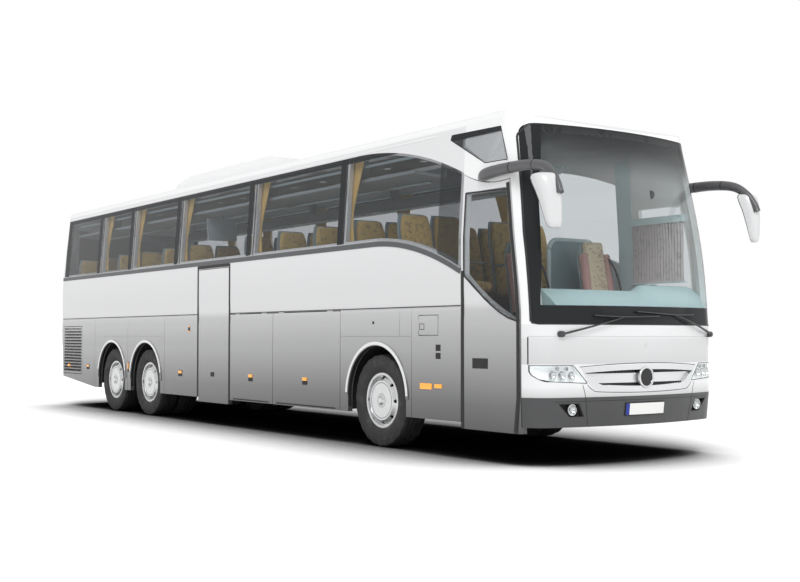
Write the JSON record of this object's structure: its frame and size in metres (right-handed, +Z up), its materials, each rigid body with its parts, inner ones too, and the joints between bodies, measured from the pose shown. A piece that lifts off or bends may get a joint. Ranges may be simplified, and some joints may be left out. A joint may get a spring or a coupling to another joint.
{
  "type": "touring coach",
  "caption": "Long touring coach with three axles, wrapped windscreen, tinted side windows, swinging doors and lifting luggage flaps",
  "frame": {"origin": "on the ground under the middle of the coach's box, mirrors included", "axes": "+Z up, the coach drives towards -Y, the doors are on the -X side"},
  "size_m": [3.0302, 13.2795, 3.6399],
  "materials": {
    "body_paint": "silver paint, gloss",
    "white_paint": "white paint, gloss",
    "skirt_grey": "dark grey painted plastic",
    "bright_trim": "bright trim",
    "clear_glass": "clear glass",
    "tinted_glass": "dark tinted glass",
    "lamp_body": "clear lamp over bright bowls",
    "red_lamp": "red lens",
    "amber_lamp": "amber lens",
    "chassis_black": "black chassis paint, satin",
    "liner_black": "black plastic",
    "engine_grey": "cast, painted grey",
    "wheel_metal": "polished",
    "tyre_rubber": "black rubber",
    "deck_cover": "ribbed floor covering",
    "dash_plastic": "grained grey-green plastic",
    "seat_fabric": "olive and tan weave",
    "crew_fabric": "red and tan weave",
    "rack_plastic": "pale plastic",
    "curtain_cloth": "woven curtain cloth",
    "mirror_shell": "painted plastic with a mirror face",
    "wiper_black": "black",
    "wheel_rim_black": "soft black",
    "knuckle_iron": "cast"
  },
  "bodies": {
    "body": {"side_wall_right": "body_paint", "side_wall_left": "body_paint", "roof_shell": "white_paint", "nose_cap": "white_paint", "windscreen": "clear_glass", "front_panel": "body_paint", "front_bumper": "body_paint", "front_skirt": "skirt_grey", "front_grille": "bright_trim", "front_lamps": "lamp_body", "rear_panel": "body_paint", "rear_glass": "tinted_glass", "rear_bumper": "skirt_grey", "tail_lamps": "red_lamp", "side_glass": "tinted_glass", "roof_unit": "white_paint", "underframe": "chassis_black", "floor_deck": "deck_cover", "platform_and_steps": "deck_cover", "engine_block": "engine_grey", "front_axle": "chassis_black", "rear_axles": "chassis_black", "wheel_liners": "liner_black", "dashboard": "dash_plastic", "crew_seats": "crew_fabric", "passenger_seats": "seat_fabric", "luggage_racks": "rack_plastic", "curtains": "curtain_cloth", "mirrors": "mirror_shell", "wipers": "wiper_black", "marker_lamps": "amber_lamp"},
    "knuckle_right": {"knuckle_right": "knuckle_iron"},
    "knuckle_left": {"knuckle_left": "knuckle_iron"},
    "steering_wheel": {"steering_wheel": "wheel_rim_black"},
    "front_door": {"front_door": "body_paint", "front_door_glass": "tinted_glass"},
    "front_door_arm": {"front_door_arm": "chassis_black"},
    "mid_door": {"mid_door": "body_paint"},
    "mid_door_arm": {"mid_door_arm": "chassis_black"},
    "filler_flap": {"filler_flap": "body_paint"},
    "engine_lid": {"engine_lid": "body_paint"},
    "side_grille_door_right": {"side_grille_door_right": "body_paint"},
    "side_grille_door_left": {"side_grille_door_left": "body_paint"},
    "luggage_flap_right_1": {"luggage_flap_right_1": "body_paint"},
    "luggage_flap_right_2": {"luggage_flap_right_2": "body_paint"},
    "luggage_flap_left_1": {"luggage_flap_left_1": "body_paint"},
    "luggage_flap_left_2": {"luggage_flap_left_2": "body_paint"},
    "luggage_flap_left_3": {"luggage_flap_left_3": "body_paint"},
    "front_wheel_right": {"front_rim_right": "wheel_metal", "front_tyre_right": "tyre_rubber"},
    "front_wheel_left": {"front_rim_left": "wheel_metal", "front_tyre_left": "tyre_rubber"},
    "drive_wheel_right": {"drive_rim_right": "wheel_metal", "drive_tyre_right": "tyre_rubber"},
    "drive_wheel_left": {"drive_rim_left": "wheel_metal", "drive_tyre_left": "tyre_rubber"},
    "tag_wheel_right": {"tag_rim_right": "wheel_metal", "tag_tyre_right": "tyre_rubber"},
    "tag_wheel_left": {"tag_rim_left": "wheel_metal", "tag_tyre_left": "tyre_rubber"}
  },
  "joints": [
    {"name": "steer_right", "type": "hinge", "parent": "body", "child": "knuckle_right", "pos_m": [-0.935, -3.6, 0.505], "axis": [0, 0, 1], "range_deg": [-45, 45]},
    {"name": "steer_left", "type": "hinge", "parent": "body", "child": "knuckle_left", "pos_m": [0.935, -3.6, 0.505], "axis": [0, 0, 1], "range_deg": [-45, 45]},
    {"name": "steering_wheel_turn", "type": "hinge", "parent": "body", "child": "steering_wheel", "pos_m": [0.79, -5.54, 1.6], "axis": [0, 0.5736, 0.8192], "range_deg": [-720, 720]},
    {"name": "front_wheel_right_spin", "type": "hinge", "parent": "knuckle_right", "child": "front_wheel_right", "pos_m": [-1.0775, -3.6, 0.505], "axis": [1, 0, 0], "continuous": true},
    {"name": "front_wheel_left_spin", "type": "hinge", "parent": "knuckle_left", "child": "front_wheel_left", "pos_m": [1.0775, -3.6, 0.505], "axis": [1, 0, 0], "continuous": true},
    {"name": "drive_wheel_right_spin", "type": "hinge", "parent": "body", "child": "drive_wheel_right", "pos_m": [-1.0775, 2.66, 0.505], "axis": [1, 0, 0], "continuous": true},
    {"name": "drive_wheel_left_spin", "type": "hinge", "parent": "body", "child": "drive_wheel_left", "pos_m": [1.0775, 2.66, 0.505], "axis": [1, 0, 0], "continuous": true},
    {"name": "tag_wheel_right_spin", "type": "hinge", "parent": "body", "child": "tag_wheel_right", "pos_m": [-1.0775, 4.01, 0.505], "axis": [1, 0, 0], "continuous": true},
    {"name": "tag_wheel_left_spin", "type": "hinge", "parent": "body", "child": "tag_wheel_left", "pos_m": [1.0775, 4.01, 0.505], "axis": [1, 0, 0], "continuous": true},
    {"name": "front_door_swing", "type": "hinge", "parent": "body", "child": "front_door_arm", "pos_m": [-1.145, -5.871, 1.08], "axis": [0, 0, 1], "range_deg": [0, 110]},
    {"name": "front_door_follow", "type": "hinge", "parent": "front_door_arm", "child": "front_door", "pos_m": [-1.145, -5.351, 1.08], "axis": [0, 0, 1], "range_deg": [-110, 0]},
    {"name": "mid_door_swing", "type": "hinge", "parent": "body", "child": "mid_door_arm", "pos_m": [-1.145, 0.716, 1.56], "axis": [0, 0, -1], "range_deg": [0, 110]},
    {"name": "mid_door_follow", "type": "hinge", "parent": "mid_door_arm", "child": "mid_door", "pos_m": [-1.145, 0.196, 1.56], "axis": [0, 0, -1], "range_deg": [-110, 0]},
    {"name": "luggage_flap_right_1_lift", "type": "hinge", "parent": "body", "child": "luggage_flap_right_1", "pos_m": [-1.275, -2.0875, 1.495], "axis": [0, 1, 0], "range_deg": [0, 88]},
    {"name": "luggage_flap_right_2_lift", "type": "hinge", "parent": "body", "child": "luggage_flap_right_2", "pos_m": [-1.275, -0.7245, 1.495], "axis": [0, 1, 0], "range_deg": [0, 88]},
    {"name": "luggage_flap_left_1_lift", "type": "hinge", "parent": "body", "child": "luggage_flap_left_1", "pos_m": [1.275, -2.0875, 1.495], "axis": [0, -1, 0], "range_deg": [0, 88]},
    {"name": "luggage_flap_left_2_lift", "type": "hinge", "parent": "body", "child": "luggage_flap_left_2", "pos_m": [1.275, -0.48775, 1.495], "axis": [0, -1, 0], "range_deg": [0, 88]},
    {"name": "luggage_flap_left_3_lift", "type": "hinge", "parent": "body", "child": "luggage_flap_left_3", "pos_m": [1.275, 1.14275, 1.495], "axis": [0, -1, 0], "range_deg": [0, 88]},
    {"name": "filler_flap_swing", "type": "hinge", "parent": "body", "child": "filler_flap", "pos_m": [-1.275, -4.382, 1.317], "axis": [0, 0, -1], "range_deg": [0, 120]},
    {"name": "engine_lid_lift", "type": "hinge", "parent": "body", "child": "engine_lid", "pos_m": [0, 6.62196, 1.9], "axis": [1, 0, 0], "range_deg": [0, 80]},
    {"name": "side_grille_door_right_swing", "type": "hinge", "parent": "body", "child": "side_grille_door_right", "pos_m": [-1.275, 5.358, 0.965], "axis": [0, 0, 1], "range_deg": [0, 120]},
    {"name": "side_grille_door_left_swing", "type": "hinge", "parent": "body", "child": "side_grille_door_left", "pos_m": [1.275, 5.358, 0.965], "axis": [0, 0, -1], "range_deg": [0, 120]}
  ],
  "couplings": [
    {"joint": "steer_left", "follows": "steer_right", "ratio": 1},
    {"joint": "steering_wheel_turn", "follows": "steer_right", "ratio": 16},
    {"joint": "front_door_follow", "follows": "front_door_swing", "ratio": -1},
    {"joint": "mid_door_follow", "follows": "mid_door_swing", "ratio": -1}
  ]
}
